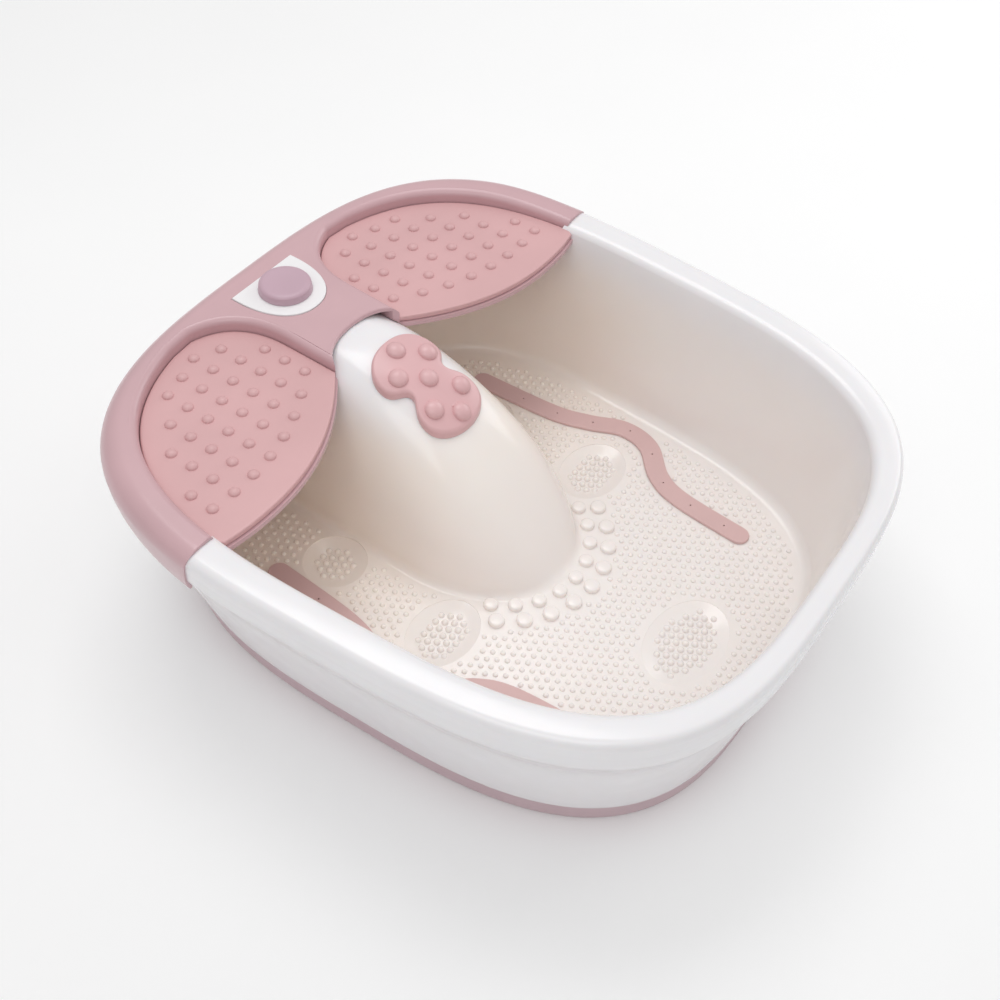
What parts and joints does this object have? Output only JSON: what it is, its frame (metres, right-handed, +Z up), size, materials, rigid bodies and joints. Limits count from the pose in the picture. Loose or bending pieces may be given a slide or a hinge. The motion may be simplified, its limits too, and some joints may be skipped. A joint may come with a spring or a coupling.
{
  "type": "pedicure foot bath",
  "caption": "Electric foot bath: drafted oval tub with a central hump and nubbed floor, rear deck with two foot rests, a selector knob and a lift-off massage head, blower and heater inside.",
  "frame": {"origin": "on the ground under the middle of the bath's bounding box, level with the undersides of the rubber feet", "axes": "+Z up, +Y towards the rear deck with the foot rests and the knob, -Y towards the open front of the basin, +X to the user's right when facing +Y"},
  "size_m": [0.3698, 0.4083, 0.1512],
  "materials": {
    "white_gloss": "polished white moulded plastic",
    "pink_gloss": "smooth dusty pink moulded plastic, semi-gloss",
    "pink_pad": "satin salmon pink with moulded nubs",
    "white_bezel": "smooth white plastic",
    "lilac_knob": "satin lilac pink plastic",
    "pink_attachment": "semi-gloss salmon pink plastic",
    "strip_pink": "satin dusty pink plastic with small air holes",
    "pink_base": "smooth dusty pink moulded plastic",
    "grey_rubber": "matt grey rubber",
    "hose_rubber": "milky silicone hose",
    "black_plastic": "matt black plastic",
    "grey_plastic": "matt grey plastic",
    "steel": "zinc-plated steel",
    "aluminium": "bare cast or sheet metal"
  },
  "bodies": {
    "tub": {"tub_shell": "white_gloss", "deck_cover": "pink_gloss", "foot_rest_left": "pink_pad", "foot_rest_right": "pink_pad", "dial_bezel": "white_bezel", "switch_body": "black_plastic", "switch_nut": "steel", "bubble_strip_left": "strip_pink", "bubble_strip_right": "strip_pink", "base_plate": "pink_base", "rubber_foot_1": "grey_rubber", "rubber_foot_2": "grey_rubber", "rubber_foot_3": "grey_rubber", "rubber_foot_4": "grey_rubber", "base_screw_1": "steel", "base_screw_2": "steel", "base_screw_3": "steel", "base_screw_4": "steel", "base_screw_5": "steel", "base_screw_6": "steel", "deck_screw_1": "steel", "deck_screw_2": "steel", "deck_screw_3": "steel", "deck_screw_4": "steel", "motor_bracket": "steel", "motor_grommet_1": "grey_rubber", "motor_grommet_2": "grey_rubber", "motor_grommet_3": "grey_rubber", "motor_screw_1": "steel", "motor_screw_2": "steel", "motor_screw_3": "steel", "motor_can": "steel", "blower_housing": "black_plastic", "blower_cover": "black_plastic", "air_elbow_left": "grey_plastic", "air_elbow_right": "grey_plastic", "air_hose_left": "hose_rubber", "air_hose_right": "hose_rubber", "heater_plate": "aluminium", "thermostat": "black_plastic", "thermal_fuse": "grey_plastic", "terminal_block": "grey_plastic", "cord_gland": "black_plastic", "gland_nut": "black_plastic", "switch_cable": "black_plastic", "motor_cable": "black_plastic", "heater_cable": "black_plastic"},
    "selector": {"control_knob": "lilac_knob", "switch_shaft": "steel"},
    "massage_head": {"massage_attachment": "pink_attachment"},
    "rotor": {"motor_shaft": "steel", "blower_impeller": "grey_plastic", "eccentric_weight": "aluminium"}
  },
  "joints": [
    {"name": "knob_turn", "type": "hinge", "parent": "tub", "child": "selector", "pos_m": [0, 0.1642, 0.146], "axis": [0, 0, -1], "range_deg": [0, 270]},
    {"name": "massage_head_lift", "type": "slide", "parent": "tub", "child": "massage_head", "axis": [0, 0, 1], "range_m": [0, 0.06]},
    {"name": "motor_spin", "type": "hinge", "parent": "tub", "child": "rotor", "pos_m": [0, 0.062, 0.05], "axis": [0, 0, 1], "continuous": true}
  ]
}
